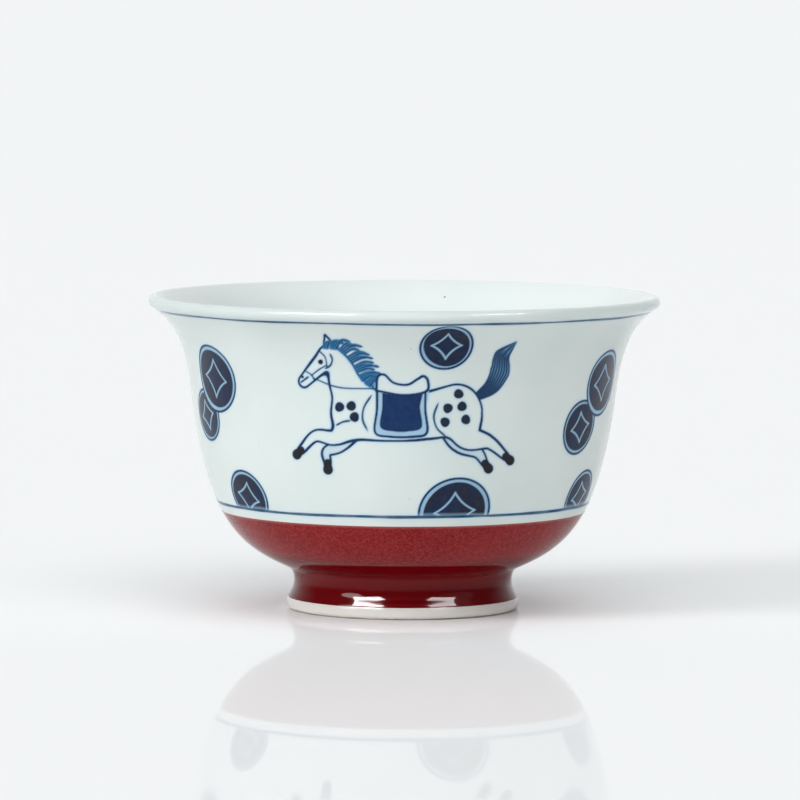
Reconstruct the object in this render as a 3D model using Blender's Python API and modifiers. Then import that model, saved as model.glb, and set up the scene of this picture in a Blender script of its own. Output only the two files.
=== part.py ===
"""A footed porcelain teacup: a thrown bowl luted to a turned foot ring, under five coats of glaze.

Metres, +Z up. The origin is on the cup's axis, in the plane that the foot stands on. Every piece
is turned about Z, and every surface is the cup's glazed outline, moved in by a named depth.
"""

import math

import bpy
from mathutils import Vector
from mathutils.geometry import interpolate_bezier

# Overall sizes, over the glaze
RIM_RADIUS = 0.0425
CUP_HEIGHT = 0.0522
LIP_THICKNESS = 0.0019
LIP_LEAN = math.radians(32)  # rise of the flared lip above level

# Stations down the outside: radius, height, and rise of the surface above level
WALL_RADIUS = 0.03505
WALL_HEIGHT = 0.0340
WALL_LEAN = math.radians(82.3)
BELLY_RADIUS = 0.0301
BELLY_HEIGHT = 0.01615
BELLY_LEAN = math.radians(60)
SHOULDER_RADIUS = 0.0194
SHOULDER_HEIGHT = 0.0072
SHOULDER_LEAN = math.radians(23.5)
WAIST_RADIUS = 0.0181
WAIST_HEIGHT = 0.0048
FOOT_RADIUS = 0.01933
TOE_RADIUS = 0.00085  # rounding of the foot's outer edge

# How far each stretch of the outside keeps to its end directions, as a share of its chord
FLARE_PULL = 0.37
WALL_PULL = 0.28
BELLY_PULL = 0.39
WAIST_PULL = 0.40

# Thickness from glazed face to glazed face, at the stations
WALL_THICKNESS = 0.0020
BELLY_THICKNESS = 0.0025
SHOULDER_THICKNESS = 0.0026
FLOOR_THICKNESS = 0.0030
FLOOR_LEAN = math.radians(10)  # rise of the cup's floor where it reaches the shoulder
FLOOR_PULL = 0.33

# The hollow under the foot
WELL_DEPTH = 0.0056
WELL_TOP_RADIUS = 0.0150
WELL_MOUTH_RADIUS = 0.0167
WELL_FILLET = 0.0009

# Coats
GLAZE = 0.0003
FIT_GAP = 0.0003  # clearance between neighbouring solids
RED_TOP_HEIGHT = 0.0166
RED_BOTTOM_HEIGHT = 0.0020
BARE_EDGE_HEIGHT = 0.0004  # the glaze is wiped off the foot below this
FOOT_EDGE_RADIUS = 0.00025  # rounding of the porcelain where it stands

# Fineness
TURN_STEPS = 40
SPAN_STEPS = 4
LIP_STEPS = 4
CORNER_STEPS = 2
MERGE_DISTANCE = 1e-6

# Surfaces: colour, roughness and coat
PORCELAIN = ((0.80, 0.80, 0.76, 1), 0.45, 0.0)
CLEAR_GLAZE = ((0.76, 0.82, 0.80, 1), 0.12, 1.0)
COPPER_RED_GLAZE = ((0.23, 0.03, 0.035, 1), 0.15, 1.0)

BODY_DEPTH = GLAZE + FIT_GAP  # from a glazed face to the porcelain under it
UP = math.pi / 2


def along(lean):
    """The direction that rises at this lean, going outwards."""
    return Vector((math.cos(lean), math.sin(lean)))


def behind(station, lean, depth):
    """The point this deep behind a station of the outside."""
    return station + depth * Vector((-math.sin(lean), math.cos(lean)))


def span(high, high_lean, low, low_lean, pull, steps=SPAN_STEPS):
    """A smooth stretch from a high station to a lower one."""
    reach = pull * (low - high).length
    high_pull = high - reach * along(high_lean)
    low_pull = low + reach * along(low_lean)
    return [point.to_2d() for point in interpolate_bezier(high, high_pull, low_pull, low, steps + 1)]


def arc(centre, radius, start, end, steps):
    """Points on a circle, from one angle to another."""
    angles = [start + (end - start) * step / steps for step in range(steps + 1)]
    return [centre + radius * along(angle) for angle in angles]


def joined(*stretches):
    """Stretches that share their end points, as one line."""
    line = list(stretches[0])
    for stretch in stretches[1:]:
        line.extend(stretch[1:])
    return line


def square_to(line, index):
    """The step to the right of a line at one of its points, long enough to keep the line's distance."""
    point = line[index]
    before = line[index - 1] if index else Vector((-line[1].x, line[1].y))
    after = line[index + 1] if index < len(line) - 1 else Vector((-line[-2].x, line[-2].y))
    on_axis = abs(point.x) < MERGE_DISTANCE
    if index == 0 and not on_axis:
        before = point - (after - point)
    if index == len(line) - 1 and not on_axis:
        after = point + (point - before)
    first = (point - before).normalized()
    heading = (first + (after - point).normalized()).normalized()
    return Vector((heading.y, -heading.x)) / first.dot(heading)


def moved(line, distance):
    """The line moved to its right, or to its left by a negative distance."""
    return [point + distance * square_to(line, index) for index, point in enumerate(line)]


def below(line, height):
    """The rest of a line that runs down, from a height on."""
    for index, (high, low) in enumerate(zip(line, line[1:])):
        if high.y >= height > low.y:
            return [high.lerp(low, (high.y - height) / (high.y - low.y))] + line[index + 1 :]
    raise ValueError("the line never reaches this height")


def above(line, height):
    """The part of a line that runs down, as far as a height."""
    rest = below(line, height)
    return line[: len(line) - len(rest) + 1] + rest[:1]


def shortened(line, length):
    """The line with this much taken off its start."""
    return [line[0] + length * (line[1] - line[0]).normalized()] + line[1:]


def glazed_outside():
    """The outside, from the crown of the lip down to where the toe meets the table."""
    wall = Vector((WALL_RADIUS, WALL_HEIGHT))
    belly = Vector((BELLY_RADIUS, BELLY_HEIGHT))
    shoulder = Vector((SHOULDER_RADIUS, SHOULDER_HEIGHT))
    waist = Vector((WAIST_RADIUS, WAIST_HEIGHT))
    toe_centre = Vector((FOOT_RADIUS - TOE_RADIUS, TOE_RADIUS))
    toe_side = toe_centre + Vector((TOE_RADIUS, 0))
    return joined(
        arc(lip_centre, LIP_THICKNESS / 2, UP, LIP_LEAN - UP, LIP_STEPS),
        span(flare_end, LIP_LEAN, wall, WALL_LEAN, FLARE_PULL),
        span(wall, WALL_LEAN, belly, BELLY_LEAN, WALL_PULL),
        span(belly, BELLY_LEAN, shoulder, SHOULDER_LEAN, BELLY_PULL),
        span(shoulder, SHOULDER_LEAN, waist, UP, WAIST_PULL, CORNER_STEPS),
        span(waist, UP, toe_side, UP, WAIST_PULL, CORNER_STEPS),
        arc(toe_centre, TOE_RADIUS, 0, -UP, CORNER_STEPS),
    )


def glazed_inside():
    """The inside, from the crown of the lip down to the middle of the floor."""
    wall = behind(Vector((WALL_RADIUS, WALL_HEIGHT)), WALL_LEAN, WALL_THICKNESS)
    belly = behind(Vector((BELLY_RADIUS, BELLY_HEIGHT)), BELLY_LEAN, BELLY_THICKNESS)
    shoulder = behind(
        Vector((SHOULDER_RADIUS, SHOULDER_HEIGHT)), SHOULDER_LEAN, SHOULDER_THICKNESS
    )
    floor_middle = Vector((0, WELL_DEPTH + FLOOR_THICKNESS))
    return joined(
        [lip_centre + LIP_THICKNESS / 2 * along(UP), behind(flare_end, LIP_LEAN, LIP_THICKNESS)],
        span(behind(flare_end, LIP_LEAN, LIP_THICKNESS), LIP_LEAN, wall, WALL_LEAN, FLARE_PULL),
        span(wall, WALL_LEAN, belly, BELLY_LEAN, WALL_PULL),
        span(belly, BELLY_LEAN, shoulder, FLOOR_LEAN, BELLY_PULL),
        span(shoulder, FLOOR_LEAN, floor_middle, 0, FLOOR_PULL, CORNER_STEPS),
    )


def glazed_well():
    """The hollow under the foot, from the middle of its ceiling out and down to its mouth."""
    drop = WELL_DEPTH - WELL_FILLET
    slope = math.atan2(drop, WELL_MOUTH_RADIUS - WELL_TOP_RADIUS)
    fillet_centre = Vector((WELL_TOP_RADIUS - WELL_FILLET, drop))
    return joined(
        [Vector((0, WELL_DEPTH)), fillet_centre + WELL_FILLET * along(UP)],
        arc(fillet_centre, WELL_FILLET, UP, UP - slope, CORNER_STEPS),
        [fillet_centre + WELL_FILLET * along(UP - slope), Vector((WELL_MOUTH_RADIUS, 0))],
    )


lip_centre = Vector((RIM_RADIUS, CUP_HEIGHT)) - LIP_THICKNESS / 2 * Vector((1, 1))
flare_end = behind(lip_centre, LIP_LEAN, -LIP_THICKNESS / 2)
outside = glazed_outside()
inside = glazed_inside()
well = glazed_well()


def bowl_profile():
    """The thrown body, from the middle of the floor up, over the lip and down to the luting."""
    whole = moved(list(reversed(inside)) + outside[1:], BODY_DEPTH)
    lining = whole[: len(inside)]
    underside = WELL_DEPTH + BODY_DEPTH
    wall = above(whole[len(inside) - 1 :], underside)
    return joined(lining, wall) + [Vector((0, underside))]


def foot_ring_profile():
    """The turned ring, down its outside, across where it stands and up its inside."""
    luting = WELL_DEPTH + GLAZE
    outer_face = below(moved(outside, BODY_DEPTH), luting)
    outer_face = [point for point in outer_face if point.y > TOE_RADIUS]
    edge_centre = Vector((FOOT_RADIUS - BODY_DEPTH - FOOT_EDGE_RADIUS, FOOT_EDGE_RADIUS))
    mouth, fillet_end = well[-1], well[-2]
    wall_out = -BODY_DEPTH * square_to([fillet_end, mouth], 1)
    low, high = mouth + wall_out, fillet_end + wall_out
    rise = (high - low) / (high.y - low.y)
    return (
        outer_face
        + arc(edge_centre, FOOT_EDGE_RADIUS, 0, -UP, CORNER_STEPS)
        + [low - rise * low.y, low + rise * (luting - low.y)]
    )


def liner_profile():
    """The coat inside the cup, from the middle of its face up to the lip, and back under."""
    face = shortened(inside, FIT_GAP / 2)
    under = moved(face, -GLAZE)
    return list(reversed(face)) + under


def outer_coat_profile(line):
    """A coat on the outside: down its face and back up behind it."""
    return line + list(reversed(moved(line, GLAZE)))


def clear_coat_profile():
    """The coat from the lip's crown down to the red."""
    return outer_coat_profile(above(shortened(outside, FIT_GAP / 2), RED_TOP_HEIGHT + FIT_GAP / 2))


def red_coat_profile():
    """The copper coat over the belly, the waist and most of the foot."""
    rest = below(outside, RED_TOP_HEIGHT - FIT_GAP / 2)
    return outer_coat_profile(above(rest, RED_BOTTOM_HEIGHT + FIT_GAP / 2))


def foot_edge_profile():
    """The clear band round the foot, down to the edge that is wiped bare."""
    rest = below(outside, RED_BOTTOM_HEIGHT - FIT_GAP / 2)
    return outer_coat_profile(above(rest, BARE_EDGE_HEIGHT))


def well_coat_profile():
    """The coat under the cup: out and down behind its face, and back along the face."""
    face = above(well, BARE_EDGE_HEIGHT)
    return moved(face, -GLAZE) + list(reversed(face))


def finish(name, look):
    """A piece's own material."""
    colour, roughness, coat = look
    material = bpy.data.materials.new(name)
    material.use_nodes = True
    shader = material.node_tree.nodes["Principled BSDF"]
    shader.inputs["Base Color"].default_value = colour
    shader.inputs["Roughness"].default_value = roughness
    shader.inputs["Metallic"].default_value = 0.0
    shader.inputs["Coat Weight"].default_value = coat
    material.diffuse_color = colour
    return material


def turned(name, profile, look):
    """A piece turned about Z from its profile, which is open only where it meets the axis."""
    count = len(profile)
    edges = [(index, index + 1) for index in range(count - 1)]
    if abs(profile[0].x) > MERGE_DISTANCE:
        edges.append((count - 1, 0))
    mesh = bpy.data.meshes.new(name)
    mesh.from_pydata([(point.x, 0, point.y) for point in profile], edges, [])
    mesh.materials.append(finish(name, look))
    piece = bpy.data.objects.new(name, mesh)
    cup.objects.link(piece)
    screw = piece.modifiers.new("Turn", "SCREW")
    screw.axis = "Z"
    screw.angle = 2 * math.pi
    screw.steps = TURN_STEPS
    screw.render_steps = TURN_STEPS
    screw.use_merge_vertices = True
    screw.merge_threshold = MERGE_DISTANCE
    screw.use_smooth_shade = True
    return piece


for old in list(bpy.data.objects):
    bpy.data.objects.remove(old, do_unlink=True)

cup = bpy.data.collections.new("teacup")
bpy.context.scene.collection.children.link(cup)

turned("bowl", bowl_profile(), PORCELAIN)
turned("foot_ring", foot_ring_profile(), PORCELAIN)
turned("liner_glaze", liner_profile(), CLEAR_GLAZE)
turned("outer_clear_glaze", clear_coat_profile(), CLEAR_GLAZE)
turned("copper_red_glaze", red_coat_profile(), COPPER_RED_GLAZE)
turned("foot_edge_glaze", foot_edge_profile(), CLEAR_GLAZE)
turned("well_glaze", well_coat_profile(), CLEAR_GLAZE)
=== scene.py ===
import math

import bpy
import numpy as np
from mathutils import Matrix, Vector, geometry


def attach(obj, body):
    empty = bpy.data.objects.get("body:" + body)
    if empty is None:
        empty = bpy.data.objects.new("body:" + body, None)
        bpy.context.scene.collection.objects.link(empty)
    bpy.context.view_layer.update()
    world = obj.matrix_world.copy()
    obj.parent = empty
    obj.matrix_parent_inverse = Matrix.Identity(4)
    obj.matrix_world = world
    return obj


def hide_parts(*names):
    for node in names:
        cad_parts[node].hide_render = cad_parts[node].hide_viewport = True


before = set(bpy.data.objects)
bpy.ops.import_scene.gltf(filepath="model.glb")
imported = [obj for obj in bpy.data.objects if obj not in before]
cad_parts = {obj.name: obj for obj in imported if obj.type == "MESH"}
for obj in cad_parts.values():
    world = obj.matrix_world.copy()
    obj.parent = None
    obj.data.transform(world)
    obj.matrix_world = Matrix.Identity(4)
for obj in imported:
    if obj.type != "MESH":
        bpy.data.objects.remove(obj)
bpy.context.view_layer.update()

print("frame loaded:", len(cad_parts), "nodes")

mm = 0.001


def selectOnly(piece):
    bpy.ops.object.select_all(action="DESELECT")
    piece.select_set(True)
    bpy.context.view_layer.objects.active = piece


def applyModifiers(piece):
    selectOnly(piece)
    for modifier in list(piece.modifiers):
        bpy.ops.object.modifier_apply(modifier=modifier.name)


# the shape of the cup: stations in mm, leans in degrees above level
cup = {
    "rim": 42.5, "height": 52.2, "lip": 1.9, "lipLean": 32,
    "wall": (35.05, 34.0, 82.3, 2.0),        # radius, height, lean, thickness
    "belly": (30.1, 16.15, 60, 2.5),
    "shoulder": (19.4, 7.2, 23.5, 2.6),
    "waist": (18.1, 4.8), "foot": 19.33, "toe": 0.85,
    # how far the handles of each curve reach, as shares of its span
    "flarePull": 0.37, "wallPull": 0.28, "bellyPull": 0.39, "waistPull": 0.40,
    "floor": 3.0, "floorLean": 10, "floorPull": 0.33, "floorBelow": 12,
    "wellDepth": 5.6, "wellTop": 15.0, "wellMouth": 16.7, "wellFillet": 0.9,
    "glaze": 0.3, "redTop": 16.5, "redBottom": 2.0, "bareEdge": 0.45,
    # steps round the cup and along a curve, a coat's rounded edge, and the angles left sharp or bevelled
    "turns": 256, "fine": 18, "coatEdge": 0.03, "redProud": 0.03, "creaseAngle": 35, "bevelAngle": 40,
}


def heading(degrees):
    return Vector((math.cos(math.radians(degrees)), math.sin(math.radians(degrees))))


def behind(station, lean, depth):
    return Vector(station[:2]) + depth * heading(lean + 90)


def knot(point, direction, reachIn=0.0, reachOut=0.0):
    return {"at": Vector(point), "way": heading(direction), "in": reachIn, "out": reachOut}


def linkKnots(first, second, pull):
    reach = pull * (second["at"] - first["at"]).length
    first["out"] = reach
    second["in"] = reach


def linkArc(first, second, radius):
    turn = abs(first["way"].angle(second["way"]))
    first["out"] = second["in"] = 4 / 3 * math.tan(turn / 4) * radius


def insideKnots(depth):
    # from the middle of the floor up to the crown of the lip
    wall, belly, shoulder = cup["wall"], cup["belly"], cup["shoulder"]
    half = cup["lip"] / 2
    centre = Vector((cup["rim"] - half, cup["height"] - half))
    knots = [
        knot((0, cup["wellDepth"] + cup["floor"] - depth), 0),
        knot(behind(shoulder, shoulder[2], shoulder[3] - depth), cup["floorLean"]),
        knot(behind(belly, belly[2], belly[3] - depth), belly[2]),
        knot(behind(wall, wall[2], wall[3] - depth), wall[2]),
        knot(centre + (half - depth) * heading(cup["lipLean"] + 90), cup["lipLean"]),
        knot(centre + (half - depth) * heading(90), 0),
    ]
    for index, pull in enumerate((cup["floorPull"], cup["bellyPull"], cup["wallPull"], cup["flarePull"])):
        linkKnots(knots[index], knots[index + 1], pull)
    linkArc(knots[4], knots[5], half - depth)
    return knots


def outsideKnots(depth):
    # from the crown of the lip down to the side of the toe
    wall, belly, shoulder = cup["wall"], cup["belly"], cup["shoulder"]
    half = cup["lip"] / 2
    centre = Vector((cup["rim"] - half, cup["height"] - half))
    knots = [
        knot(centre + (half - depth) * heading(90), 0),
        knot(centre + (half - depth) * heading(0), -90),
        knot(centre + (half - depth) * heading(cup["lipLean"] - 90), cup["lipLean"] + 180),
        knot(behind(wall, wall[2], depth), wall[2] + 180),
        knot(behind(belly, belly[2], depth), belly[2] + 180),
        knot(behind(shoulder, shoulder[2], depth), shoulder[2] + 180),
        knot((cup["waist"][0] - depth, cup["waist"][1]), -90),
        knot((cup["foot"] - depth, cup["toe"]), -90),
    ]
    linkArc(knots[0], knots[1], half - depth)
    linkArc(knots[1], knots[2], half - depth)
    pulls = (cup["flarePull"], cup["wallPull"], cup["bellyPull"], cup["waistPull"], cup["waistPull"])
    for index, pull in enumerate(pulls):
        linkKnots(knots[index + 2], knots[index + 3], pull)
    return knots


def corner(x, z):
    return knot((x, z), 0)


def drawProfile(name, knots):
    # the profile is drawn as a curve in the plane of X and Z, then made a mesh
    bpy.ops.object.select_all(action="DESELECT")
    bpy.ops.curve.primitive_bezier_curve_add(location=(0, 0, 0))
    profile = bpy.context.object
    profile.name = name
    profile.data.dimensions = "3D"
    profile.data.resolution_u = cup["fine"]
    spline = profile.data.splines[0]
    spline.bezier_points.add(len(knots) - 2)
    for point, spot in zip(spline.bezier_points, knots):
        before = spot["at"] - spot["in"] * spot["way"]
        after = spot["at"] + spot["out"] * spot["way"]
        point.handle_left_type = point.handle_right_type = "FREE"
        point.co = (spot["at"].x * mm, 0, spot["at"].y * mm)
        point.handle_left = (before.x * mm, 0, before.y * mm)
        point.handle_right = (after.x * mm, 0, after.y * mm)
    bpy.ops.object.convert(target="MESH")
    return bpy.context.object


def cutProfile(profile, low, high):
    # keeps the stretch between two heights
    bpy.ops.object.mode_set(mode="EDIT")
    for height, upper in ((high, True), (low, False)):
        bpy.ops.mesh.select_all(action="SELECT")
        bpy.ops.mesh.bisect(
            plane_co=(0, 0, height * mm), plane_no=(0, 0, 1), clear_outer=upper, clear_inner=not upper
        )
    bpy.ops.object.mode_set(mode="OBJECT")
    return profile


def spinProfile(profile):
    bpy.ops.object.mode_set(mode="EDIT")
    bpy.ops.mesh.select_all(action="SELECT")
    bpy.ops.mesh.remove_doubles(threshold=0.0001 * mm)
    bpy.ops.mesh.select_all(action="SELECT")
    bpy.ops.mesh.spin(steps=cup["turns"], angle=2 * math.pi, center=(0, 0, 0), axis=(0, 0, 1))
    bpy.ops.mesh.select_all(action="SELECT")
    bpy.ops.mesh.remove_doubles(threshold=0.002 * mm)
    bpy.ops.object.mode_set(mode="OBJECT")
    return profile


def faceOutwards(piece):
    # for a closed shell; an open skin is turned by turnSkin
    selectOnly(piece)
    bpy.ops.object.mode_set(mode="EDIT")
    bpy.ops.mesh.select_all(action="SELECT")
    bpy.ops.mesh.normals_make_consistent(inside=False)
    bpy.ops.object.mode_set(mode="OBJECT")


def smooth(piece):
    selectOnly(piece)
    bpy.ops.object.shade_smooth_by_angle(angle=math.radians(cup["creaseAngle"]))


def coatShell(piece, thickness, bevel=0.0):
    shell = piece.modifiers.new("coat", "SOLIDIFY")
    shell.thickness = thickness * mm
    shell.offset = -1
    shell.use_even_offset = True
    if bevel:
        edge = piece.modifiers.new("edge", "BEVEL")
        edge.width = bevel * mm
        edge.segments = 3
        edge.limit_method = "ANGLE"
        edge.angle_limit = math.radians(cup["bevelAngle"])
    applyModifiers(piece)
    smooth(piece)


def newMaterial(name):
    material = bpy.data.materials.new(name)
    material.use_nodes = True
    tree = material.node_tree
    return material, tree, tree.nodes["Principled BSDF"]


def addNode(tree, kind, inputs=None, **settings):
    made = tree.nodes.new("ShaderNode" + kind)
    for key, value in settings.items():
        setattr(made, key, value)
    for key, value in (inputs or {}).items():
        if isinstance(value, bpy.types.NodeSocket):
            tree.links.new(value, made.inputs[key])
        else:
            made.inputs[key].default_value = value
    return made


def noiseAt(tree, scale, detail=3.0, roughness=0.5):
    coords = addNode(tree, "TexCoord")
    return addNode(tree, "TexNoise", {
        "Vector": coords.outputs["Object"], "Scale": scale, "Detail": detail, "Roughness": roughness,
    }).outputs["Fac"]


def stretched(tree, value, low, high, toLow=0.0, toHigh=1.0):
    return addNode(tree, "MapRange", {
        "Value": value, "From Min": low, "From Max": high, "To Min": toLow, "To Max": toHigh,
    }).outputs["Result"]


def textured(tree, recipe, toLow=0.0, toHigh=1.0):
    # noise, stretched between two of its own values
    scale, detail, roughness, low, high = recipe
    return stretched(tree, noiseAt(tree, scale, detail, roughness), low, high, toLow, toHigh)


def mixed(tree, factor, first, second):
    mix = addNode(tree, "Mix", data_type="RGBA")
    for index, value in ((0, factor), (6, first), (7, second)):
        if isinstance(value, bpy.types.NodeSocket):
            tree.links.new(value, mix.inputs[index])
        else:
            mix.inputs[index].default_value = value
    return mix.outputs[2]


def reckon(tree, operation, first, second):
    made = addNode(tree, "Math", operation=operation)
    for index, value in ((0, first), (1, second)):
        if isinstance(value, bpy.types.NodeSocket):
            tree.links.new(value, made.inputs[index])
        else:
            made.inputs[index].default_value = value
    return made.outputs[0]


glaze = {
    # one clear glaze in three tones: the liner is painted lighter and the foot band darker than the outer
    # wall, as painted light and painted shade
    "body": (0.685, 0.748, 0.728, 1), "pooled": (0.616, 0.700, 0.685, 1), "pinhole": (0.30, 0.27, 0.22, 1),
    "liner": (0.800, 0.860, 0.845, 1), "linerPooled": (0.740, 0.815, 0.800, 1),
    "foot": (0.69, 0.68, 0.645, 1), "footPooled": (0.64, 0.63, 0.60, 1),
    "halo": (0.42, 0.60, 0.78, 1), "cobalt": (0.0010, 0.054, 0.125, 1), "ironBlot": (0.014, 0.0115, 0.014, 1),
    "roughness": 0.10, "ior": 1.26,
    # each cobalt line: its height, half its width and the lean of the wall there
    "lineTop": 50.0, "topHalf": 0.265, "topLean": 38, "lineLow": 18.15, "lowHalf": 0.27, "lowLean": 62,
    # mm a line wanders, how thin and wide it gets, how pale its pigment gets in places
    "wander": 0.06, "thinnest": 0.72, "widest": 1.25, "palest": 0.82, "inkPalest": 0.988,
    # where a line's core and halo end, in halves of its width, and how strong the halo is
    "coreFrom": 0.75, "coreTo": 1.35, "haloFrom": 1.0, "haloTo": 3.6, "haloStrength": 0.42,
    # each texture: scale, detail, roughness and the two noise values it runs between
    "cloud": (45.0, 2.0, 0.5, 0.35, 0.70), "specks": (520.0, 1.0, 0.5, 0.80, 0.84),
    "wobble": (60.0, 1.0, 0.5, 0.3, 0.7), "swell": (110.0, 2.0, 0.5, 0.3, 0.7),
    "density": (300.0, 3.0, 0.5, 0.3, 0.7), "blots": (330.0, 2.0, 0.5, 0.44, 0.62),
    "grain": (1100.0, 3.0, 0.5, 0.30, 0.70),
    # the surface ripples: scale, detail, strength and depth in mm
    "ripple": (140.0, 2.0, 0.05, 0.3),
}


def rippled(tree, shader, scale, detail, strength, depth):
    height = noiseAt(tree, scale, detail)
    bump = addNode(tree, "Bump", {"Height": height, "Strength": strength, "Distance": depth * mm})
    tree.links.new(bump.outputs["Normal"], shader.inputs["Normal"])


def heightAbove(tree):
    coords = addNode(tree, "TexCoord")
    return addNode(tree, "SeparateXYZ", {"Vector": coords.outputs["Object"]}).outputs["Z"]


def brushedLine(tree, height, half, lean):
    # how deep in the line's pigment a point is, from its height, with a hand's wobble
    up = heightAbove(tree)
    wobble = textured(tree, glaze["wobble"], -glaze["wander"] * mm, glaze["wander"] * mm)
    swell = textured(tree, glaze["swell"], glaze["thinnest"], glaze["widest"])
    above = reckon(tree, "SUBTRACT", up, height * mm)
    away = reckon(tree, "ABSOLUTE", reckon(tree, "ADD", above, wobble), 0.0)
    rise = half * math.sin(math.radians(lean)) * mm
    return reckon(tree, "DIVIDE", reckon(tree, "DIVIDE", away, swell), rise)


def cobaltPaint(tree, ground):
    # the brushwork held in a patch's own attributes; the iron in the ore dries brown in the dark parts
    paint = addNode(tree, "Attribute", attribute_name="paint")
    cover = addNode(tree, "Attribute", attribute_name="cover").outputs["Fac"]
    iron = reckon(tree, "MULTIPLY", paint.outputs["Alpha"], textured(tree, glaze["blots"]))
    inked = mixed(tree, iron, paint.outputs["Color"], glaze["ironBlot"])
    grain = textured(tree, glaze["grain"], glaze["inkPalest"], 1.0)
    return mixed(tree, reckon(tree, "MULTIPLY", cover, grain), ground, inked)


def cobaltLine(tree, ground, height, half, lean):
    reach = brushedLine(tree, height, half, lean)
    halo = stretched(tree, reach, glaze["haloFrom"], glaze["haloTo"], glaze["haloStrength"], 0.0)
    core = stretched(tree, reach, glaze["coreFrom"], glaze["coreTo"], 1.0, 0.0)
    density = textured(tree, glaze["density"], glaze["palest"], 1.0)
    colour = mixed(tree, halo, ground, glaze["halo"])
    return mixed(tree, reckon(tree, "MULTIPLY", core, density), colour, glaze["cobalt"])


def clearGlazeMaterial(name, painted, body="body", pooled="pooled"):
    material, tree, shader = newMaterial(name)
    colour = mixed(tree, textured(tree, glaze["cloud"]), glaze[body], glaze[pooled])
    if painted:
        colour = cobaltPaint(tree, colour)
        colour = cobaltLine(tree, colour, glaze["lineTop"], glaze["topHalf"], glaze["topLean"])
        colour = cobaltLine(tree, colour, glaze["lineLow"], glaze["lowHalf"], glaze["lowLean"])
    colour = mixed(tree, textured(tree, glaze["specks"]), colour, glaze["pinhole"])
    tree.links.new(colour, shader.inputs["Base Color"])
    shader.inputs["Roughness"].default_value = glaze["roughness"]
    shader.inputs["IOR"].default_value = glaze["ior"]
    rippled(tree, shader, *glaze["ripple"])
    return material


copper = {
    # the throat tone darkens the underside of the bowl just above the foot as painted shade; the foot tone is
    # darker still
    "red": (0.215, 0.0070, 0.0080, 1), "deep": (0.165, 0.0020, 0.0035, 1), "ash": (0.285, 0.026, 0.027, 1),
    "thin": (0.400, 0.160, 0.140, 1), "foot": (0.115, 0.0006, 0.0020, 1), "neck": (0.150, 0.0085, 0.0100, 1),
    "throatShade": (0.128, 0.0008, 0.0024, 1), "roughness": 0.07, "ior": 1.25,
    # the heights where one tone turns into the next, and how far down the top edge runs thin
    "neckFrom": 4.8, "neckTo": 6.0, "throatShadeFrom": 7.3, "throatShadeTo": 8.0, "bellyFrom": 9.2, "bellyTo": 10.6,
    "thinDrop": 0.45, "thinShare": 0.55,
    # textures and ripples, as in the clear glaze
    "cloud": (95.0, 4.0, 0.6, 0.30, 0.72), "grain": (2200.0, 3.0, 0.65, 0.42, 0.68),
    "peel": (700.0, 2.0, 0.10, 0.1),
}


def copperRedMaterial():
    # mottled on the belly, smooth and darker towards the foot; the underside of the bowl just above the foot
    # is darkened as painted shade
    material, tree, shader = newMaterial("copperRedGlaze")
    cloud = textured(tree, copper["cloud"])
    grain = textured(tree, copper["grain"])
    up = heightAbove(tree)
    belly = stretched(tree, up, copper["bellyFrom"] * mm, copper["bellyTo"] * mm)
    neck = stretched(tree, up, copper["neckFrom"] * mm, copper["neckTo"] * mm)
    throatShade = stretched(tree, up, copper["throatShadeFrom"] * mm, copper["throatShadeTo"] * mm)
    # painted shade: the throat band under the bowl is darkened, and the red darkens further towards the foot
    colour = mixed(tree, throatShade, mixed(tree, neck, copper["foot"], copper["neck"]), copper["throatShade"])
    colour = mixed(tree, belly, colour, mixed(tree, cloud, copper["red"], copper["deep"]))
    colour = mixed(tree, reckon(tree, "MULTIPLY", grain, belly), colour, copper["ash"])
    edge = stretched(tree, up, (cup["redTop"] - copper["thinDrop"]) * mm, cup["redTop"] * mm)
    colour = mixed(tree, reckon(tree, "MULTIPLY", edge, copper["thinShare"]), colour, copper["thin"])
    tree.links.new(colour, shader.inputs["Base Color"])
    shader.inputs["Roughness"].default_value = copper["roughness"]
    shader.inputs["IOR"].default_value = copper["ior"]
    rippled(tree, shader, *copper["peel"])
    return material


clay = {
    "white": (0.80, 0.78, 0.72, 1), "iron": (0.20, 0.145, 0.10, 1), "roughness": 0.72,
    # the standing edge fires brown in patches as it nears the shelf, and this brown also stands in as painted
    # contact shade there; the rest is faintly grained
    "flashAndShadeLow": 0.12, "flashAndShadeHigh": 0.30, "flashAndShadeLeast": 0.35, "grainShare": 0.25,
    "grain": (900.0, 4.0, 0.5, 0.35, 0.65), "patches": (160.0, 3.0, 0.5, 0.25, 0.70),
    "tooth": 0.15, "toothDepth": 0.05,
}


def clayMaterial():
    material, tree, shader = newMaterial("bareClay")
    up = heightAbove(tree)
    grain = textured(tree, clay["grain"])
    # the darkening at the standing edge is fired iron flash and painted contact shade together
    rim = stretched(tree, up, clay["flashAndShadeHigh"] * mm, clay["flashAndShadeLow"] * mm)
    patchy = textured(tree, clay["patches"], clay["flashAndShadeLeast"], 1.0)
    colour = mixed(tree, reckon(tree, "MULTIPLY", rim, patchy), clay["white"], clay["iron"])
    colour = mixed(tree, reckon(tree, "MULTIPLY", grain, clay["grainShare"]), colour, clay["iron"])
    tree.links.new(colour, shader.inputs["Base Color"])
    shader.inputs["Roughness"].default_value = clay["roughness"]
    tooth = {"Height": grain, "Strength": clay["tooth"], "Distance": clay["toothDepth"] * mm}
    bump = addNode(tree, "Bump", tooth)
    tree.links.new(bump.outputs["Normal"], shader.inputs["Normal"])
    return material


paintedGlaze = clearGlazeMaterial("clearGlaze", True)
# the liner takes the lighter tone as painted light, and the foot band and the well take the darker one as
# painted shade
litLinerGlaze = clearGlazeMaterial("litLinerGlaze", False, "liner", "linerPooled")
shadedFootGlaze = clearGlazeMaterial("shadedFootGlaze", False, "foot", "footPooled")
redGlaze = copperRedMaterial()
bareClay = clayMaterial()


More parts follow.
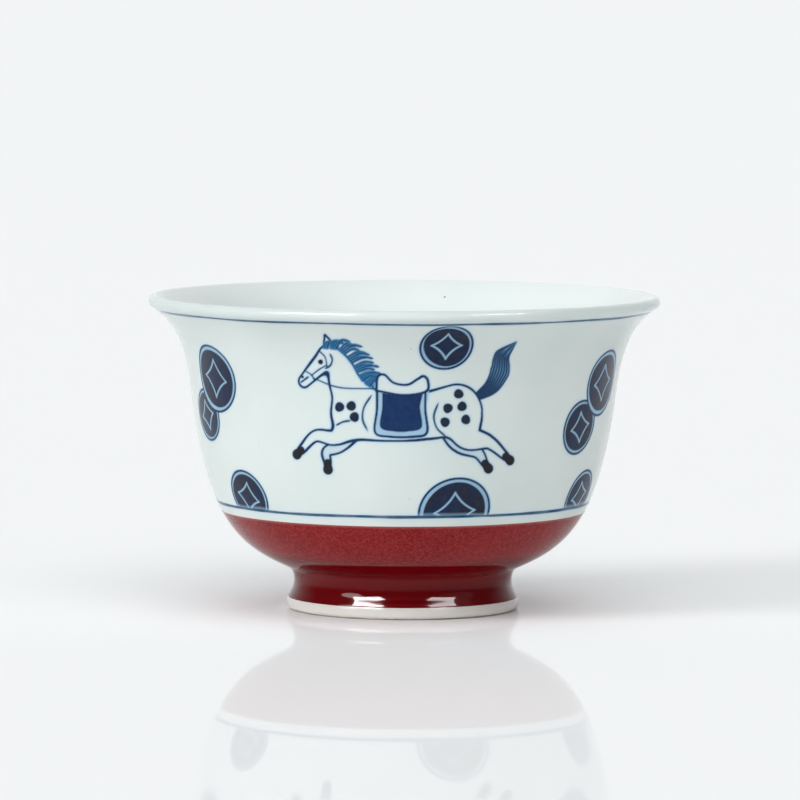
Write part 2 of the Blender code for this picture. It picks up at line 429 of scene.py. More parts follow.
def place(piece, name, material, slot, *nodes):
    piece.name = name
    piece.data.name = name
    piece.data.materials.clear()
    piece.data.materials.append(material)
    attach(piece, "root")
    if nodes:
        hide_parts(*nodes)
    print("made", name, len(piece.data.polygons), "faces")


def flipSkin(piece):
    selectOnly(piece)
    bpy.ops.object.mode_set(mode="EDIT")
    bpy.ops.mesh.select_all(action="SELECT")
    bpy.ops.mesh.flip_normals()
    bpy.ops.object.mode_set(mode="OBJECT")


def turnSkin(piece, wantUpAt=None):
    # an open skin is turned so that its glazed face looks away from the clay
    selectOnly(piece)
    mesh = piece.data
    score = 0.0
    for face in mesh.polygons:
        spot = face.center
        if wantUpAt:
            score += face.normal.z * face.area if wantUpAt(spot) else 0.0
        else:
            outward = Vector((spot.x, spot.y, 0)).normalized()
            score += face.normal.dot(outward) * face.area
    if score < 0:
        flipSkin(piece)


def makeClearGlaze():
    # one shell, from the middle of the floor over the lip and down to the red
    inner = drawProfile("innerLine", insideKnots(0))
    outer = cutProfile(drawProfile("outerLine", outsideKnots(0)), cup["redTop"], cup["height"] + 1)
    inner.select_set(True)
    bpy.ops.object.join()
    piece = spinProfile(bpy.context.object)
    turnSkin(piece, wantUpAt=lambda spot: spot.z < cup["floorBelow"] * mm)
    coatShell(piece, cup["glaze"])
    place(piece, "clearGlaze", paintedGlaze, "clear_glaze", "liner_glaze", "outer_clear_glaze")
    piece.data.materials.append(litLinerGlaze)
    for face in piece.data.polygons:
        outward = Vector((face.center.x, face.center.y, 0))
        outside = face.center.z > (cup["redTop"] - 1) * mm and face.normal.dot(outward) > 0
        face.material_index = 0 if outside else 1


def makeOutsideCoat(name, high, low, proud, material, slot, nodeName):
    knots = outsideKnots(-proud)
    toeCentre = cup["foot"] - cup["toe"]
    toe = knot((toeCentre, -proud), 180)
    linkArc(knots[-1], toe, cup["toe"] + proud)
    profile = cutProfile(drawProfile(name, knots + [toe]), low, high)
    piece = spinProfile(profile)
    turnSkin(piece)
    coatShell(piece, cup["glaze"] + proud, cup["coatEdge"])
    place(piece, name, material, slot, nodeName)


def makeRedGlaze():
    # the red stands a little proud of the clear glaze it meets
    makeOutsideCoat("redGlaze", cup["redTop"], cup["redBottom"], cup["redProud"], redGlaze,
                    "copper_red_glaze", "copper_red_glaze")


def makeFootBand():
    makeOutsideCoat("footBand", cup["redBottom"], cup["bareEdge"], 0.0, shadedFootGlaze,
                    "clear_glaze", "foot_edge_glaze")


def wellKnots(depth):
    # the hollow under the foot, from the middle of its ceiling out and down to its mouth
    drop = cup["wellDepth"] - cup["wellFillet"]
    slope = math.degrees(math.atan2(drop, cup["wellMouth"] - cup["wellTop"]))
    centre = Vector((cup["wellTop"] - cup["wellFillet"], drop))
    knots = [
        knot((0, cup["wellDepth"] + depth), 0),
        knot(centre + (cup["wellFillet"] + depth) * heading(90), 0),
        knot(centre + (cup["wellFillet"] + depth) * heading(90 - slope), -slope),
        knot(Vector((cup["wellMouth"], 0)) + depth * heading(90 - slope), -slope),
    ]
    linkArc(knots[1], knots[2], cup["wellFillet"] + depth)
    return knots


def makeWellGlaze():
    profile = cutProfile(drawProfile("wellLine", wellKnots(0)), cup["bareEdge"], cup["height"])
    piece = spinProfile(profile)
    turnSkin(piece, wantUpAt=lambda spot: True)
    flipSkin(piece)          # this one looks down
    coatShell(piece, cup["glaze"])
    place(piece, "wellGlaze", shadedFootGlaze, "clear_glaze", "well_glaze")


def boundaryFill(piece, bridge):
    selectOnly(piece)
    bpy.ops.object.mode_set(mode="EDIT")
    bpy.ops.mesh.select_all(action="DESELECT")
    bpy.ops.mesh.select_non_manifold(extend=False, use_boundary=True, use_wire=False,
                                     use_multi_face=False, use_non_contiguous=False, use_verts=False)
    if bridge:
        bpy.ops.mesh.bridge_edge_loops()
    else:
        bpy.ops.mesh.edge_face_add()
    bpy.ops.object.mode_set(mode="OBJECT")
    faceOutwards(piece)
    smooth(piece)


def makeClayBowl():
    under = cup["glaze"]
    luting = cup["wellDepth"] + under
    inner = drawProfile("clayInner", insideKnots(under))
    cutProfile(drawProfile("clayOuter", outsideKnots(under)), luting, cup["height"])
    inner.select_set(True)
    bpy.ops.object.join()
    piece = spinProfile(bpy.context.object)
    boundaryFill(piece, False)
    place(piece, "clayBowl", bareClay, "porcelain", "bowl")


def makeFootRing():
    under = cup["glaze"]
    luting = cup["wellDepth"] + under
    knots = outsideKnots(under)
    toe = cup["toe"] - under
    centre = Vector((cup["foot"] - under - toe, toe))
    side = knot(centre + Vector((toe, 0)), -90, knots[-1]["in"])
    stand = knot(centre - Vector((0, toe)), 180)
    linkArc(side, stand, toe)
    mouth = wellKnots(under)[-1]["at"]
    ceiling = wellKnots(under)[2]["at"]
    rise = (ceiling - mouth) / (ceiling.y - mouth.y)
    inner = mouth - rise * mouth.y
    knots = knots[:-1] + [side, stand, corner(*inner), corner(*(inner + rise * luting))]
    profile = cutProfile(drawProfile("ringLine", knots), -0.001, luting - 0.001)
    piece = spinProfile(profile)
    boundaryFill(piece, True)
    place(piece, "footRing", bareClay, "porcelain", "foot_ring")


brushwork = {
    # mm between the sheet's vertices, how proud it stands, how thick it is, how soft a stroke's edge is
    "spacing": 0.115, "proud": 0.02, "thick": 0.05, "soft": 0.075,
    # how far pigment creeps into the glaze and how strongly
    "halo": 0.62, "haloStrength": 0.60,
    # how a stroke tapers and swells, how an outline's pressure varies, and what cover counts as unpainted
    "taper": 7, "swell": 0.10, "pressure": 0.16, "unpainted": 0.003,
    "wallSteps": 80,
    # each ink is a colour and how brown the iron in it dries
    "line": (0.0012, 0.026, 0.088, 0.0), "deep": (0.0035, 0.015, 0.052, 0.55),
    "cloth": (0.0010, 0.024, 0.100, 0.1), "wash": (0.022, 0.165, 0.360, 0.0),
    "pale": (0.275, 0.450, 0.610, 0.0), "bleed": (0.360, 0.580, 0.790, 0.0),
    "iron": (0.0110, 0.0105, 0.0150, 0.6), "spot": (0.0045, 0.014, 0.045, 0.45),
}


def smoothPath(points, perSpan=9):
    # an even curve through given spots
    spots = np.array(points, float)
    padded = np.vstack([2 * spots[0] - spots[1], spots, 2 * spots[-1] - spots[-2]])
    share = np.linspace(0, 1, perSpan, endpoint=False)[:, None]
    runs = [
        0.5 * (2 * b + (c - a) * share + (2 * a - 5 * b + 4 * c - d) * share ** 2
               + (3 * b - a - 3 * c + d) * share ** 3)
        for a, b, c, d in zip(padded, padded[1:], padded[2:], padded[3:])
    ]
    return np.vstack(runs + [spots[-1:]])


def closedPath(points, perSpan=9):
    # an even curve that ends where it began
    spots = list(points)
    ring = smoothPath(spots[-2:] + spots + spots[:2], perSpan)
    return ring[2 * perSpan:-perSpan]


def blankSheet(spots):
    return {"spots": spots, "colour": np.zeros((len(spots), 4)), "cover": np.zeros(len(spots))}


def layOver(sheet, ink, cover, near):
    cover = cover[:, None]
    sheet["colour"][near] = np.array(ink) * cover + sheet["colour"][near] * (1 - cover)
    sheet["cover"][near] = cover[:, 0] + sheet["cover"][near] * (1 - cover[:, 0])


def bleedUnder(sheet, away, near, strength=1.0):
    # pigment that creeps into the glaze lies under all the strokes
    creep = np.clip(1 - np.maximum(away, 0) / brushwork["halo"], 0, 1) ** 2
    room = (1 - sheet["cover"][near]) * creep * brushwork["haloStrength"] * strength
    sheet["colour"][near] += np.array(brushwork["bleed"]) * room[:, None]
    sheet["cover"][near] += room


def nearPath(sheet, path, reach):
    low, high = path.min(0) - reach, path.max(0) + reach
    return np.flatnonzero(np.all((sheet["spots"] > low) & (sheet["spots"] < high), axis=1))


def awayFrom(spots, path, halves):
    # how far each spot lies outside a stroke's edge, less than nothing in the stroke
    away = np.full(len(spots), 9.0)
    for start, end, wide, wideEnd in zip(path, path[1:], halves, halves[1:]):
        run = end - start
        share = np.clip((spots - start) @ run / max(run @ run, 1e-9), 0, 1)
        distance = np.linalg.norm(spots - start - share[:, None] * run, axis=1)
        away = np.minimum(away, distance - (wide + share * (wideEnd - wide)))
    return away


def dried(away):
    return np.clip(0.5 - away / brushwork["soft"] / 2, 0, 1)


def stroke(sheet, points, half=0.19, ink="line", heads=(0.5, 0.5), density=1.0, creep=1.0):
    # a brushed line: it starts and ends at a share of its width and swells a little on the way
    path = smoothPath(points)
    share = np.linspace(0, 1, len(path))
    taper = brushwork["taper"]
    ends = np.minimum(heads[0] + share * taper, heads[1] + (1 - share) * taper).clip(0, 1)
    halves = half * ends * (1 + brushwork["swell"] * np.sin(share * 9 + path[0, 0]))
    near = nearPath(sheet, path, half + brushwork["halo"])
    away = awayFrom(sheet["spots"][near], path, halves)
    if creep:
        bleedUnder(sheet, away, near, creep)
    layOver(sheet, brushwork[ink], dried(away) * density, near)


def insidePath(spots, path):
    # less than nothing inside a closed outline, by its distance from the edge
    away = awayFrom(spots, path, np.zeros(len(path)))
    inside = np.zeros(len(spots), bool)
    for (x, z), (nextX, nextZ) in zip(path, path[1:]):
        crossing = (z > spots[:, 1]) != (nextZ > spots[:, 1])
        rise = np.where(nextZ == z, 1e-9, nextZ - z)
        inside ^= crossing & (spots[:, 0] < (nextX - x) * (spots[:, 1] - z) / rise + x)
    return np.where(inside, -away, away)


def fill(sheet, outline, ink, density=1.0, creep=1.0, grow=0.0):
    near = nearPath(sheet, outline, brushwork["halo"] + grow)
    away = insidePath(sheet["spots"][near], outline) - grow
    if creep:
        bleedUnder(sheet, away, near, creep)
    layOver(sheet, brushwork[ink], dried(away) * density, near)


def wipe(sheet, outline):
    # what comes in front leaves the ground bare inside its outline
    near = nearPath(sheet, outline, brushwork["soft"])
    kept = 1 - dried(insidePath(sheet["spots"][near], outline))
    sheet["colour"][near] *= kept[:, None]
    sheet["cover"][near] *= kept


# a plain running horse, put together from joints and widths; places in mm across and up the wall
horse = {
    "around": 0.0, "sides": (-20.6, 20.8), "heights": (24.0, 49.2), "line": 0.215, "melt": 1.1,
    # each limb is its joints, and how wide it is at each of them
    "body": {
        "barrel": ([(-7.6, 35.3), (-2.0, 34.8), (3.4, 34.9), (8.6, 35.9)], [8.6, 8.0, 7.6, 8.2]),
        "neck": ([(-7.2, 36.6), (-9.4, 39.8), (-10.4, 42.6), (-12.0, 44.6)], [7.2, 5.4, 4.2, 3.3]),
        "head": ([(-12.4, 44.3), (-14.6, 42.2), (-16.6, 40.2)], [3.5, 2.7, 2.0]),
        "foreleg": ([(-8.2, 33.6), (-11.2, 31.2), (-14.6, 31.3), (-17.2, 28.9)], [4.6, 2.5, 1.8, 1.2]),
        "hindLeg": ([(9.4, 34.6), (10.6, 31.4), (14.2, 30.4), (17.2, 28.0)], [6.8, 4.2, 2.1, 1.2]),
    },
    "farLegs": {
        "foreleg": ([(-7.6, 33.4), (-10.2, 30.0), (-12.6, 28.8), (-12.5, 27.0)], [3.6, 2.1, 1.6, 1.1]),
        "hindLeg": ([(8.0, 33.6), (9.2, 30.4), (12.2, 28.8), (13.5, 27.0)], [5.2, 3.0, 1.8, 1.1]),
    },
    "hoof": (1.15, 1.2, 1.75),               # its length, and its width at the ankle and the sole
    "farWash": 0.35, "tailWash": 0.80, "clothWash": 0.75, "maneWash": 0.85, "hairDensity": 0.94,
    "tail": ([(12.2, 38.0), (14.6, 39.6), (16.0, 42.0), (16.4, 44.6), (18.8, 46.8)],
             [1.2, 2.4, 3.3, 2.5, 0.2]),
    "tailHairs": 8,
    "crest": [(-13.1, 45.9), (-10.4, 45.6), (-8.2, 43.2), (-6.6, 40.6), (-4.4, 39.2)],
    "maneLocks": 30, "maneReach": 3.4, "maneHalf": 0.30, "maneLine": 0.12, "wind": (0.98, -0.05),
    "strokes": {
        "cheek": [(-12.9, 42.4), (-12.0, 43.0), (-11.7, 44.0), (-12.1, 44.9)],
        "mouth": [(-17.2, 40.0), (-16.5, 40.5), (-15.8, 41.0)],
        "shoulder": [(-5.2, 38.2), (-6.4, 36.2), (-6.6, 34.2), (-5.8, 32.4)],
        "elbow": [(-11.0, 33.2), (-9.8, 33.8), (-8.6, 34.0)],
        "flank": [(5.6, 37.0), (4.9, 34.9), (5.4, 32.9), (6.9, 31.5)],
    },
    "eye": (-13.7, 43.5, 0.42), "nostril": (-16.9, 40.9, 0.24),
    "ear": ([(-12.7, 45.7), (-12.5, 46.8), (-12.9, 48.0)], [1.1, 1.2, 0.1]),
    "straps": [[(-16.2, 41.8), (-15.3, 41.3), (-14.8, 40.5)], [(-13.9, 45.3), (-12.9, 44.3), (-12.6, 42.8)],
               [(-15.3, 41.2), (-14.0, 42.2), (-12.8, 42.9)], [(-15.0, 40.8), (-10.6, 39.4), (-4.6, 39.3)]],
    "seat": [(-4.4, 39.0), (-4.2, 41.2), (-3.1, 41.6), (-1.6, 40.3), (0.6, 40.0), (2.2, 40.9), (3.2, 41.4),
             (3.9, 40.6), (3.6, 38.9), (0.0, 38.3)],
    "cloth": {"top": 39.6, "bottom": 32.2, "left": -4.3, "right": 3.5, "flare": 0.7, "border": 0.85},
    # each cluster's middle, reach and number of spots, wound outwards by the same turn
    "dapples": {"haunch": (8.8, 35.9, 3.1, 5), "shoulder": (-9.1, 36.0, 2.0, 3)},
    "dapple": 0.80, "dappleTurn": 2.4, "dappleStart": 0.6,
}


def halvesAlong(path, widths):
    return np.interp(np.linspace(0, 1, len(path)), np.linspace(0, 1, len(widths)), widths) / 2


def sideways(path):
    # the direction across a path at each of its points
    way = np.gradient(path, axis=0)
    return np.stack([-way[:, 1], way[:, 0]], axis=1) / np.linalg.norm(way, axis=1)[:, None]


def limb(spots, joints, widths):
    # how far each spot lies outside a limb that tapers from joint to joint
    path = smoothPath(joints)
    return awayFrom(spots, path, halvesAlong(path, widths))


def melted(first, second, reach):
    # two shapes that run into one another
    share = np.clip(0.5 + (second - first) / (2 * reach), 0, 1)
    return second + (first - second) * share - reach * share * (1 - share)


def silhouette(sheet, limbs):
    away = None
    for joints, widths in limbs.values():
        part = limb(sheet["spots"], joints, widths)
        away = part if away is None else melted(away, part, horse["melt"])
    return away


def inkEdge(sheet, away, wash=0.0):
    # the ground is wiped bare inside a shape, and a line follows its edge
    everywhere = np.arange(len(away))
    kept = 1 - dried(away)
    sheet["colour"] *= kept[:, None]
    sheet["cover"] *= kept
    if wash:
        layOver(sheet, brushwork["pale"], dried(away) * wash, everywhere)
    pressure = 1 + brushwork["pressure"] * np.sin(0.55 * sheet["spots"][:, 0] + 0.8 * sheet["spots"][:, 1])
    edge = np.abs(away) - horse["line"] * pressure
    bleedUnder(sheet, edge, everywhere)
    layOver(sheet, brushwork["line"], dried(edge), everywhere)


def blot(sheet, x, z, radius, ink):
    # a round daub, a little uneven
    turns = np.linspace(0, 2 * math.pi, 37)
    reach = radius * (1 + 0.035 * np.sin(3 * turns + x) + 0.025 * np.cos(2 * turns + z))
    rim = np.stack([x + reach * np.cos(turns), z + reach * np.sin(turns)], axis=1)
    fill(sheet, rim, ink)


def paintShape(sheet, joints, widths, ink, density=1.0):
    # a limb in one ink, without a line round it
    everywhere = np.arange(len(sheet["spots"]))
    away = limb(sheet["spots"], joints, widths)
    bleedUnder(sheet, away, everywhere)
    layOver(sheet, brushwork[ink], dried(away) * density, everywhere)


def paintHooves(sheet, legs):
    length, ankle, sole = horse["hoof"]
    for name in ("foreleg", "hindLeg"):
        joints = np.array(legs[name][0])
        way = joints[-1] - joints[-2]
        toe = joints[-1] + way / np.linalg.norm(way) * length
        down = [joints[-1], (joints[-1] + toe) / 2, toe]
        paintShape(sheet, down, [ankle, (ankle + sole) / 2, sole], "iron")


def paintTail(sheet):
    joints, widths = horse["tail"]
    paintShape(sheet, joints, widths, "wash", horse["tailWash"])
    path = smoothPath(joints)
    across = sideways(path)
    halves = halvesAlong(path, widths)
    for index in range(horse["tailHairs"]):
        share = 2 * index / (horse["tailHairs"] - 1) - 1
        hair = path + across * (halves * share)[:, None]
        last = len(hair) - int(6 * abs(math.sin(index * 2.1)))
        stroke(sheet, hair[:last:3], horse["line"] * 0.8, heads=(0.7, 0.2),
               density=horse["hairDensity"], creep=0.5)


def paintMane(sheet):
    # locks that leave the crest and blow back
    crest = smoothPath(horse["crest"])
    outward = sideways(crest)
    wind = np.array(horse["wind"])
    locks = horse["maneLocks"]
    for index in range(locks):
        at = round(index / (locks - 1) * (len(crest) - 1))
        reach = horse["maneReach"] * (0.55 + 0.45 * math.sin(math.pi * (index + 1) / locks))
        reach *= 0.85 + 0.15 * math.sin(index * 2.3)
        tip = crest[at] + outward[at] * reach * 0.45 + wind * reach * 0.75
        middle = crest[at] + outward[at] * reach * 0.50 + wind * reach * 0.18
        lock = [crest[at], middle, tip]
        stroke(sheet, lock, horse["maneHalf"], "wash", heads=(1, 0.1), density=horse["maneWash"], creep=0.4)
        stroke(sheet, lock, horse["maneLine"], "line", heads=(0.8, 0.1), density=0.92, creep=0)


def clothOutline(inset):
    # down the left side, along the hem and up the right side
    cloth = horse["cloth"]
    left, right = cloth["left"] + inset, cloth["right"] - inset
    top, low = cloth["top"], cloth["bottom"] + inset
    flare, quarter = cloth["flare"], (cloth["right"] - cloth["left"]) / 4
    return [
        (left, top), (left, (top + low) / 2), (left - flare * 0.4, low), (left + quarter, low - flare),
        (right - quarter, low - flare), (right + flare * 0.4, low), (right, (top + low) / 2), (right, top),
    ]


def paintSaddle(sheet):
    hem, panel = clothOutline(0.0), clothOutline(horse["cloth"]["border"])
    wipe(sheet, smoothPath(hem + hem[:1]))
    fill(sheet, smoothPath(hem + hem[:1]), "pale", horse["clothWash"])
    fill(sheet, smoothPath(panel + panel[:1]), "cloth")
    stroke(sheet, hem, horse["line"] * 0.95, heads=(1, 1))
    wipe(sheet, closedPath(horse["seat"]))
    stroke(sheet, horse["seat"] + horse["seat"][:1], horse["line"], heads=(1, 1))


def paintHorse(sheet):
    # from the back to the front: far legs, tail, ear, body, then what lies on it
    line = horse["line"]
    inkEdge(sheet, silhouette(sheet, horse["farLegs"]), horse["farWash"])
    paintHooves(sheet, horse["farLegs"])
    paintTail(sheet)
    inkEdge(sheet, limb(sheet["spots"], *horse["ear"]))
    inkEdge(sheet, silhouette(sheet, horse["body"]))
    paintHooves(sheet, horse["body"])
    for path in horse["strokes"].values():
        stroke(sheet, path, line * 0.8, heads=(0.4, 0.3), density=0.95)
    for x, z, reach, count in horse["dapples"].values():
        for index in range(count):
            turn = horse["dappleTurn"] * index + horse["dappleStart"]
            far = reach * math.sqrt((index + 0.4) / count)
            blot(sheet, x + far * math.cos(turn), z + far * math.sin(turn), horse["dapple"], "spot")
    paintMane(sheet)
    paintSaddle(sheet)
    for strap in horse["straps"]:
        stroke(sheet, strap, line * 0.6, "line", heads=(0.9, 0.9), density=0.95)
    blot(sheet, *horse["eye"], "iron")
    blot(sheet, *horse["nostril"], "iron")


coin = {
    # mm for the lines; the disc and the hole are shares of the radius
    "outline": 0.20, "holeLine": 0.16, "disc": 0.85, "hole": 0.57, "waist": 0.17,
    # mm of bare sheet round a group, and how near a sheet comes to the ends of the wall
    "margin": 0.2, "clear": 0.05,
    # each coin is its degrees round the cup, height, radius and the lean of its hole
    "groups": {
        "coinTop": [(10.4, 46.45, 4.45, 0)],
        "coinLow": [(15.4, 19.0, 6.1, 4)],
        "coinsLeft": [(-67.0, 33.2, 4.5, 12), (-59.0, 39.6, 5.8, -8)],
        "coinLowLeft": [(-52.5, 20.2, 4.8, -14)],
        "coinsRight": [(56.2, 31.9, 4.65, 10), (66.0, 38.9, 5.65, 6)],
        "coinLowRight": [(65.2, 20.1, 4.65, 14)],
    },
}


def paintCoin(sheet, x, z, radius, tilt):
    # a thin rim, a pale ring, a dark face and a four-pointed hole with hollow sides
    turns = np.linspace(0, 2 * math.pi, 73)
    way = np.stack([np.cos(turns), np.sin(turns)], axis=1)
    wobble = 1 + 0.012 * np.sin(2 * turns + x) + 0.010 * np.cos(3 * turns + z)
    centre = np.array((x, z))
    rim = centre + way * (radius * wobble)[:, None]
    fill(sheet, rim, "line")
    fill(sheet, rim, "pale", 1.0, 0, grow=-2 * coin["outline"])
    face = centre + way * (radius * coin["disc"] * (1 + 0.02 * np.cos(2 * turns + z)))[:, None]
    fill(sheet, face, "deep", 1.0, 0)
    hole = coinHole(centre, radius, tilt)
    near = nearPath(sheet, hole, 0.6)
    away = np.abs(insidePath(sheet["spots"][near], hole) + 0.05) - coin["holeLine"]
    layOver(sheet, brushwork["pale"], dried(away), near)


def coinHole(centre, radius, tilt):
    lean = math.radians(tilt)
    turned = np.array(((math.cos(lean), math.sin(lean)), (-math.sin(lean), math.cos(lean))))
    tips = [(0, 1), (1, 0), (0, -1), (-1, 0)]
    hole = []
    for first, second in zip(tips, tips[1:] + tips[:1]):
        first, second = np.array(first), np.array(second)
        pulled = (first + second) / 2 * (1 - coin["waist"] * 2)
        for share in np.linspace(0, 1, 10, endpoint=False):
            hole.append((1 - share) ** 2 * first + 2 * share * (1 - share) * pulled + share ** 2 * second)
    return centre + np.array(hole + hole[:1]) * radius * coin["hole"] @ turned


def wallLine():
    # the outer wall from the shoulder up to the lip: its heights, radii and lengths along it
    knots = outsideKnots(0)[2:6]
    spots = []
    for first, second in zip(knots, knots[1:]):
        leave = first["at"] + first["out"] * first["way"]
        arrive = second["at"] - second["in"] * second["way"]
        ends = [Vector((*point, 0)) for point in (first["at"], leave, arrive, second["at"])]
        spots += geometry.interpolate_bezier(*ends, brushwork["wallSteps"])[:-1]
    line = np.array([(spot.x, spot.y) for spot in reversed(spots)])
    steps = np.linalg.norm(np.diff(line, axis=0), axis=1)
    return {"radius": line[:, 0], "height": line[:, 1], "length": np.concatenate([[0], np.cumsum(steps)])}


wall = wallLine()


def wallAt(kind, values, known):
    return np.interp(values, wall[known], wall[kind])


def sheetSpots(mesh, sides, rise):
    # where each vertex of the grid lies on the flat sheet
    flat = np.zeros(len(mesh.vertices) * 3, np.float32)
    mesh.vertices.foreach_get("co", flat)
    share = flat.reshape(-1, 3)[:, :2].astype(float) + 0.5
    across = sides[0] + share[:, 0] * (sides[1] - sides[0])
    up = rise[0] + share[:, 1] * (rise[1] - rise[0])
    return np.stack([across, up], axis=1)


def bentOntoWall(spots, around, known):
    # flat spots wrapped round the cup, a little proud of the clear glaze
    radius = wallAt("radius", spots[:, 1], known)
    height = wallAt("height", spots[:, 1], known)
    turn = math.radians(around) + spots[:, 0] / radius
    wide = np.gradient(wall["radius"], wall["length"])
    steep = np.gradient(wall["height"], wall["length"])
    along = wallAt("length", height, "height")
    out = radius + brushwork["proud"] * np.interp(along, wall["length"], steep)
    high = height - brushwork["proud"] * np.interp(along, wall["length"], wide)
    return height, np.stack([out * np.sin(turn), -out * np.cos(turn), high], axis=1) * mm


def trimUnpainted(mesh, cover):
    bpy.ops.object.mode_set(mode="EDIT")
    bpy.ops.mesh.select_all(action="DESELECT")
    bpy.ops.object.mode_set(mode="OBJECT")
    mesh.vertices.foreach_set("select", cover < brushwork["unpainted"])
    bpy.ops.object.mode_set(mode="EDIT")
    bpy.ops.mesh.delete(type="VERT")
    bpy.ops.mesh.select_all(action="SELECT")
    bpy.ops.mesh.delete_loose()
    bpy.ops.object.mode_set(mode="OBJECT")


def layPatch(name, around, sides, rise, known, paintIt):
    # a fine sheet is painted flat, bent onto the wall, and trimmed to what was painted
    columns = round((sides[1] - sides[0]) / brushwork["spacing"])
    rows = round((rise[1] - rise[0]) / brushwork["spacing"])
    bpy.ops.object.select_all(action="DESELECT")
    bpy.ops.mesh.primitive_grid_add(x_subdivisions=columns, y_subdivisions=rows, size=1, location=(0, 0, 0))
    piece = bpy.context.object
    mesh = piece.data
    sheet = blankSheet(sheetSpots(mesh, sides, rise))
    paintIt(sheet)
    height, bent = bentOntoWall(sheet["spots"], around, known)
    sheet["cover"][(height < glaze["lineLow"]) | (height > glaze["lineTop"])] = 0
    mesh.vertices.foreach_set("co", bent.astype(np.float32).ravel())
    colours = (sheet["colour"] / np.maximum(sheet["cover"], 0.001)[:, None]).astype(np.float32)
    paint = mesh.attributes.new("paint", "FLOAT_COLOR", "POINT")
    paint.data.foreach_set("color", colours.ravel())
    cover = mesh.attributes.new("cover", "FLOAT", "POINT")
    cover.data.foreach_set("value", sheet["cover"].astype(np.float32))
    trimUnpainted(mesh, sheet["cover"])
    turnSkin(piece)
    coatShell(piece, brushwork["thick"])
    place(piece, name, paintedGlaze, "cobalt_painting")
    return piece


def copyBehind(piece, name):
    # the decoration is repeated on the far side of the cup
    selectOnly(piece)
    bpy.ops.object.duplicate()
    double = bpy.context.object
    double.rotation_euler = (0, 0, math.pi)
    bpy.ops.object.transform_apply(location=True, rotation=True, scale=True)
    place(double, name, paintedGlaze, "cobalt_painting")


def makeHorses():
    front = layPatch("horseFront", horse["around"], horse["sides"], horse["heights"], "height", paintHorse)
    copyBehind(front, "horseBack")


def makeCoins():
    for name, coins in coin["groups"].items():
        around = coins[-1][0]
        daubs = []
        for side, height, radius, tilt in coins:
            length = float(wallAt("length", height, "height"))
            x = math.radians(side - around) * float(wallAt("radius", height, "height"))
            daubs.append((x, length, radius, tilt))
        spots = np.array([daub[:2] for daub in daubs])
        reach = np.array([[daub[2]] for daub in daubs])
        room = brushwork["halo"] + coin["margin"]
        sides, rise = zip((spots - reach).min(0) - room, (spots + reach).max(0) + room)
        rise = (max(rise[0], coin["clear"]), min(rise[1], wall["length"][-1] - coin["clear"]))

        def paintThem(sheet, daubs=daubs):
            for daub in daubs:
                paintCoin(sheet, *daub)

        front = layPatch(name, around, sides, rise, "length", paintThem)
        copyBehind(front, name + "Back")


makeClayBowl()
makeFootRing()
makeClearGlaze()
makeRedGlaze()
makeFootBand()
makeWellGlaze()
makeHorses()
makeCoins()


studio = {
    "white": (0.960, 0.973, 0.978, 1), "sky": (0.97, 0.985, 1.0, 1),
    # the sky's strength by the camera, behind the cup and overhead, and where one turns into the next
    "skyFront": 0.14, "skyBack": 0.93, "skyHigh": 0.50, "backFrom": 0.30, "backTo": 0.85,
    "highFrom": 0.5, "highTo": 0.95,
    # the floor mirrors faintly, and less and less from the near to the far distance in metres
    "mirrorIor": 1.042, "mirrorNear": 0.30, "mirrorFar": 2.0, "mirrorRough": 0.015,
    "floorRough": 0.9, "floorSize": 40,
    "key": 1.36, "keyFrom": (-0.80, -0.49, 0.46), "keySpread": 22,
    "fill": 0.16, "fillFrom": (0.80, -0.42, 0.46), "fillSpread": 40,
    "front": 1.31, "frontFrom": (0.05, -0.62, 0.78), "frontSpread": 55,
    # two boxes that only glint in the glaze: where from, size in metres, watts
    "glints": {
        "glintLeft": ((-0.483, -0.55, 0.582), (0.60, 0.27), 42),
        "glintRight": ((0.568, -0.53, 0.618), (0.54, 0.27), 15),
    },
    "glintDistance": 1.2, "glintAim": 26,
    "target": (0, 0, 26.25), "distance": 1075, "lift": 4.95, "lens": 290.8,
    "aim": (-0.60, 0, 34.7), "roll": 0.25,
}


def makeFloor():
    bpy.ops.object.select_all(action="DESELECT")
    bpy.ops.mesh.primitive_plane_add(size=studio["floorSize"], location=(0, 0, 0))
    floor = bpy.context.object
    floor.name = "floor"
    material, tree, shader = newMaterial("floorWhite")
    shader.inputs["Base Color"].default_value = studio["white"]
    shader.inputs["Roughness"].default_value = studio["floorRough"]
    shader.inputs["Specular IOR Level"].default_value = 0.0
    gloss = addNode(tree, "BsdfGlossy", {"Color": (1, 1, 1, 1), "Roughness": studio["mirrorRough"]})
    sheen = addNode(tree, "Fresnel", {"IOR": studio["mirrorIor"]})
    spread = addNode(tree, "VectorMath", {0: addNode(tree, "TexCoord").outputs["Object"]}, operation="LENGTH")
    fade = stretched(tree, spread.outputs["Value"], studio["mirrorNear"], studio["mirrorFar"], 1.0, 0.0)
    fade.node.interpolation_type = "SMOOTHSTEP"
    strength = reckon(tree, "MULTIPLY", sheen.outputs[0], fade)
    blend = addNode(tree, "MixShader", {0: strength, 1: shader.outputs[0], 2: gloss.outputs[0]})
    tree.links.new(blend.outputs[0], tree.nodes["Material Output"].inputs["Surface"])
    floor.data.materials.append(material)


def addSoftbox(name, direction, distance, size, power):
    spot = Vector(direction).normalized() * distance
    bpy.ops.object.light_add(type="AREA", location=spot + Vector((0, 0, studio["glintAim"] * mm)))
    box = bpy.context.object
    box.name = name
    box.data.shape = "RECTANGLE"
    box.data.size, box.data.size_y = size
    box.data.energy = power
    box.rotation_euler = spot.to_track_quat("Z", "Y").to_euler()
    return box


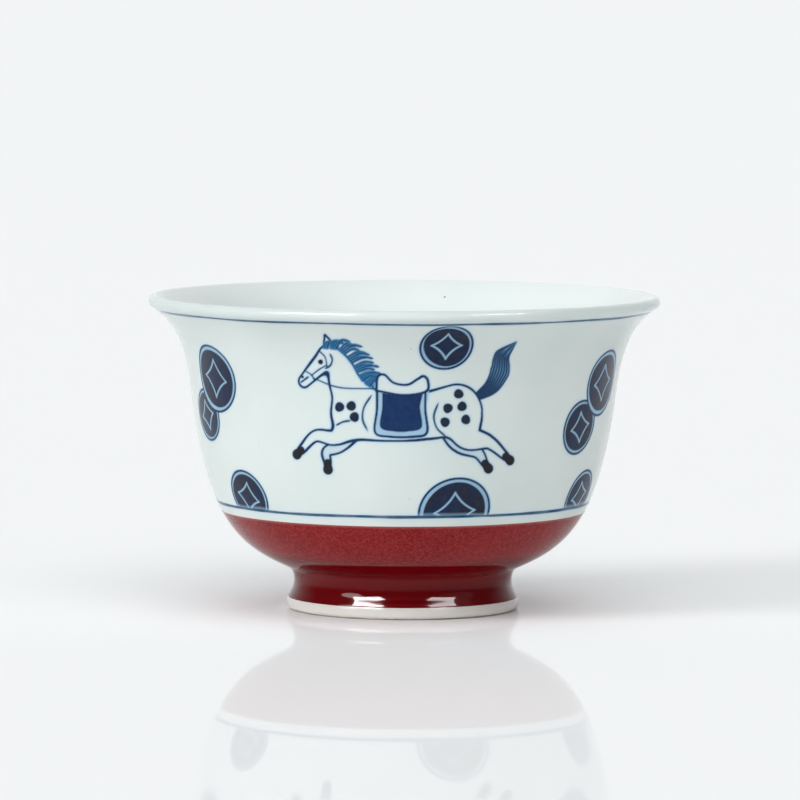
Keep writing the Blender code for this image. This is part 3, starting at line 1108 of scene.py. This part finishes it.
def addSun(name, direction, strength, spread):
    bpy.ops.object.light_add(type="SUN", location=Vector(direction))
    sun = bpy.context.object
    sun.name = name
    sun.data.energy = strength
    sun.data.angle = math.radians(spread)
    sun.rotation_euler = Vector(direction).to_track_quat("Z", "Y").to_euler()
    return sun


def makeSky():
    # bright behind the cup and overhead, dark at the sides and where the camera stands
    world = bpy.data.worlds.new("studio")
    bpy.context.scene.world = world
    world.use_nodes = True
    tree = world.node_tree
    backdrop = tree.nodes["Background"]
    backdrop.inputs["Color"].default_value = studio["sky"]
    way = addNode(tree, "SeparateXYZ", {"Vector": addNode(tree, "TexCoord").outputs["Generated"]})
    low = stretched(tree, way.outputs["Y"], studio["backFrom"], studio["backTo"],
                    studio["skyFront"], studio["skyBack"])
    climb = stretched(tree, way.outputs["Z"], studio["highFrom"], studio["highTo"])
    overhead = reckon(tree, "MULTIPLY", climb, studio["skyHigh"])
    glow = reckon(tree, "ADD", overhead, reckon(tree, "MULTIPLY", low, reckon(tree, "SUBTRACT", 1.0, climb)))
    tree.links.new(glow, backdrop.inputs["Strength"])


def makeLights():
    addSun("keySun", studio["keyFrom"], studio["key"], studio["keySpread"])
    addSun("fillSun", studio["fillFrom"], studio["fill"], studio["fillSpread"])
    front = addSun("frontSun", studio["frontFrom"], studio["front"], studio["frontSpread"])
    front.visible_glossy = False
    for name, (direction, size, power) in studio["glints"].items():
        addSoftbox(name, direction, studio["glintDistance"], size, power).visible_diffuse = False


def makeCamera():
    target = Vector(studio["target"]) * mm
    lift = math.radians(studio["lift"])
    away = Vector((0, -math.cos(lift), math.sin(lift)))
    bpy.ops.object.camera_add(location=target + away * studio["distance"] * mm)
    camera = bpy.context.object
    camera.name = "camera"
    camera.data.lens = studio["lens"]
    camera.data.sensor_width = 36
    camera.data.clip_start = 0.05
    camera.data.clip_end = 100
    look = Vector(studio["aim"]) * mm - camera.location
    turn = look.to_track_quat("-Z", "Y").to_matrix().to_4x4()
    camera.rotation_euler = (turn @ Matrix.Rotation(math.radians(studio["roll"]), 4, "Z")).to_euler()
    bpy.context.scene.camera = camera


makeFloor()
makeSky()
makeLights()
makeCamera()
bpy.context.scene.view_settings.view_transform = "Standard"
print("studio ready")
